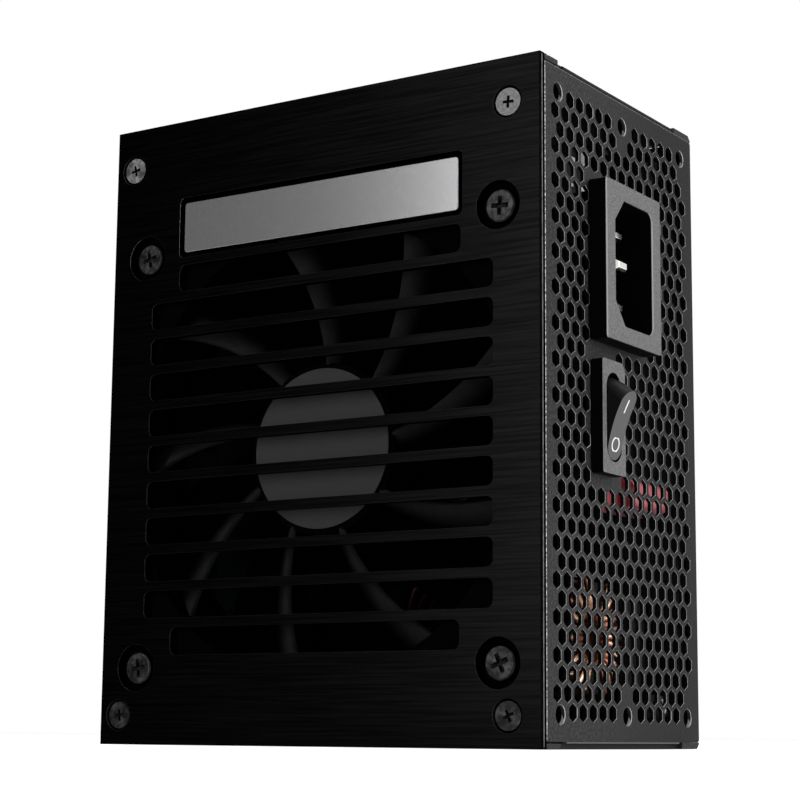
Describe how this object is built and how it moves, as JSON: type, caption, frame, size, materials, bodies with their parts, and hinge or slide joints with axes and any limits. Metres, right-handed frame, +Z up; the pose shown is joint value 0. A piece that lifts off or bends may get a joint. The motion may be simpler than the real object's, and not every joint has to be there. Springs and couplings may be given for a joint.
{
  "type": "power supply unit",
  "caption": "Compact computer power supply with a slotted brushed fan face, honeycomb rear panel, mains inlet, rocker switch and detachable-cable sockets",
  "frame": {"origin": "centre of the case's end face that it stands on, midway between the fan face and the base and midway between the rear panel and the socket panel", "axes": "+Z up along the long side of the case, +X out of the rear panel with the mains inlet, -Y out of the fan face, +Y out of the base"},
  "size_m": [0.1067, 0.0636, 0.125],
  "materials": {
    "brushed_plate": "fine straight brushed, black anodised",
    "badge": "satin silver anodised, bare",
    "powder_coat": "fine-textured black powder coat",
    "fan_plastic": "moulded black plastic",
    "inlet_plastic": "fine-textured dark grey plastic",
    "hub_label": "plain grey label, bare",
    "screw_zinc": "zinc plated",
    "screw_black": "plated, lightly blackened",
    "shaft_steel": "ground",
    "bearing_brass": "plain turned",
    "contact": "nickel plated",
    "ferrite": "matt grey ferrite",
    "copper": "enamelled copper wire",
    "winding_tape": "yellow polyester tape",
    "film_red": "moulded red case",
    "can_sleeve": "black shrink sleeve, bare",
    "circuit_board": "green solder mask",
    "insulator": "thin clear film",
    "heatsink": "extruded, bare",
    "lead_sleeve": "soft black sleeve"
  },
  "bodies": {
    "housing": {"front_plate": "brushed_plate", "badge_plate": "badge", "fan_cover": "powder_coat", "chassis_tray": "powder_coat", "rear_panel": "powder_coat", "fan_frame": "fan_plastic", "fan_bearing": "bearing_brass", "fan_stator": "copper", "fan_lead": "lead_sleeve", "inlet_housing": "inlet_plastic", "inlet_pin_live": "contact", "inlet_pin_neutral": "contact", "inlet_pin_earth": "contact", "switch_body": "inlet_plastic", "switch_tag_line": "contact", "switch_tag_load": "contact", "main_board": "circuit_board", "modular_board": "circuit_board", "insulator_sheet": "insulator", "film_capacitor": "film_red", "choke_core": "ferrite", "choke_winding_line": "copper", "choke_winding_neutral": "copper", "choke_base": "fan_plastic", "coil_core": "ferrite", "coil_winding": "copper", "storage_capacitor": "can_sleeve", "transformer_core": "ferrite", "transformer_winding": "winding_tape", "primary_heatsink": "heatsink", "secondary_heatsink": "heatsink", "fan_screw_1": "screw_zinc", "board_screw_1": "screw_zinc", "plate_screw_1": "screw_black", "cover_screw_1": "screw_black", "fan_screw_2": "screw_zinc", "board_screw_2": "screw_zinc", "plate_screw_2": "screw_black", "cover_screw_2": "screw_black", "fan_screw_3": "screw_zinc", "board_screw_3": "screw_zinc", "plate_screw_3": "screw_black", "cover_screw_3": "screw_black", "fan_screw_4": "screw_zinc", "board_screw_4": "screw_zinc", "plate_screw_4": "screw_black", "cover_screw_4": "screw_black", "socket_main_18": "fan_plastic", "socket_main_10": "fan_plastic", "socket_drive_6_1": "fan_plastic", "socket_drive_6_2": "fan_plastic", "socket_power_8_1": "fan_plastic", "socket_power_8_2": "fan_plastic", "socket_power_8_3": "fan_plastic", "socket_power_8_4": "fan_plastic"},
    "fan": {"fan_rotor": "fan_plastic", "fan_shaft": "shaft_steel", "fan_magnet": "ferrite", "hub_disc": "hub_label"},
    "rocker": {"switch_rocker": "inlet_plastic"}
  },
  "joints": [
    {"name": "fan_spin", "type": "hinge", "parent": "housing", "child": "fan", "pos_m": [0, -0.0225, 0.0561], "axis": [0, -1, 0], "continuous": true},
    {"name": "rocker_tilt", "type": "hinge", "parent": "housing", "child": "rocker", "pos_m": [0.04955, -0.0087, 0.0605], "axis": [0, -1, 0], "range_deg": [0, 38]}
  ]
}
